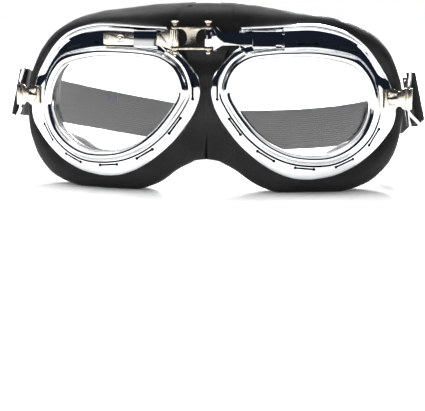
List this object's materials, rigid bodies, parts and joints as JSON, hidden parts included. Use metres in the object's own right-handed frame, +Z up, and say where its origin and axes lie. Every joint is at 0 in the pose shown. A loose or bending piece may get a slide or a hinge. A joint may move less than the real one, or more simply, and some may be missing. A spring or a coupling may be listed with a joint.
{
  "type": "motorcycle goggles",
  "caption": "Vintage-style motorcycle goggles: chromed eyepieces on a padded black mask, joined by a hinged sliding bridge, with an elastic strap on wire loops.",
  "frame": {"origin": "bottom centre of the bounding box, on the surface the goggles stand on, with the strap stretched out behind", "axes": "front of the goggles towards -Y, +X towards the viewer's right when seen from the front, +Z up"},
  "size_m": [0.2159, 0.1284, 0.0922],
  "materials": {
    "chrome": "bright mirror plating over a smooth moulding",
    "nickel": "warm nickel plate, lightly brushed",
    "lens": "clear, polished",
    "mask_leather": "charcoal black grained synthetic leather, soft sheen",
    "edge_lining": "soft black lining over foam",
    "gasket_rubber": "matt black",
    "retainer_plastic": "satin black moulding",
    "webbing": "black ribbed elastic webbing",
    "tag": "blank dark navy woven tag"
  },
  "bodies": {
    "bridge": {"bridge_link": "chrome", "left_hinge_pin": "nickel", "right_hinge_pin": "nickel", "nose_bridge_pad": "mask_leather"},
    "left_eyepiece": {"left_frame": "chrome", "left_lens": "lens", "left_lens_gasket": "gasket_rubber", "left_retainer_ring": "retainer_plastic", "mask_left": "mask_leather", "edge_roll_left": "edge_lining", "left_guide_loop": "chrome", "left_bracket_rivet": "nickel"},
    "left_arm": {"left_slide_arm": "nickel"},
    "left_bracket": {"left_side_bracket": "nickel"},
    "left_loop": {"left_wire_loop": "chrome", "strap_left": "webbing", "strap_tag": "tag"},
    "right_eyepiece": {"right_frame": "chrome", "right_lens": "lens", "right_lens_gasket": "gasket_rubber", "right_retainer_ring": "retainer_plastic", "mask_right": "mask_leather", "edge_roll_right": "edge_lining", "right_guide_loop": "chrome", "right_bracket_rivet": "nickel"},
    "right_arm": {"right_slide_arm": "chrome"},
    "right_bracket": {"right_side_bracket": "nickel"},
    "right_loop": {"right_wire_loop": "chrome", "strap_right": "webbing"},
    "slider": {"strap_slider": "chrome"}
  },
  "joints": [
    {"name": "left_arm_hinge", "type": "hinge", "parent": "bridge", "child": "left_arm", "pos_m": [-0.014, -0.06165, 0.0756], "axis": [0, 0, -1], "range_deg": [-3, 7], "deforming": ["nose_bridge_pad", "strap_left"]},
    {"name": "right_arm_hinge", "type": "hinge", "parent": "bridge", "child": "right_arm", "pos_m": [0.002, -0.06165, 0.0756], "axis": [0, 0, 1], "range_deg": [-3, 7], "deforming": ["strap_right"]},
    {"name": "left_width_slide", "type": "slide", "parent": "left_arm", "child": "left_eyepiece", "axis": [-0.9935, 0.1135, 0], "range_m": [-0.0005, 0.0026]},
    {"name": "right_width_slide", "type": "slide", "parent": "right_arm", "child": "right_eyepiece", "axis": [0.9981, 0.0623, 0], "range_m": [-0.0005, 0.0026]},
    {"name": "left_bracket_swivel", "type": "hinge", "parent": "left_eyepiece", "child": "left_bracket", "pos_m": [-0.08978, -0.04374, 0.046], "axis": [0.4862, 0.8738, 0], "range_deg": [-6, 6]},
    {"name": "right_bracket_swivel", "type": "hinge", "parent": "right_eyepiece", "child": "right_bracket", "pos_m": [0.08978, -0.04374, 0.046], "axis": [0.4862, -0.8738, 0], "range_deg": [-6, 6]},
    {"name": "left_loop_hinge", "type": "hinge", "parent": "left_bracket", "child": "left_loop", "pos_m": [-0.09827, -0.03947, 0.046], "axis": [0, 0, -1], "range_deg": [-9, 9]},
    {"name": "right_loop_hinge", "type": "hinge", "parent": "right_bracket", "child": "right_loop", "pos_m": [0.09827, -0.03947, 0.046], "axis": [0, 0, 1], "range_deg": [-9, 9]},
    {"name": "slider_adjust", "type": "slide", "parent": "right_loop", "child": "slider", "axis": [-0.1892, 0.9322, -0.3086], "range_m": [-0.006, 0.006]}
  ],
  "couplings": [
    {"joint": "right_arm_hinge", "follows": "left_arm_hinge", "ratio": 1},
    {"joint": "left_loop_hinge", "follows": "left_arm_hinge", "ratio": -1.235},
    {"joint": "right_loop_hinge", "follows": "left_arm_hinge", "ratio": -1.235},
    {"joint": "right_width_slide", "follows": "left_width_slide", "ratio": 1},
    {"joint": "right_bracket_swivel", "follows": "left_bracket_swivel", "ratio": 1}
  ]
}
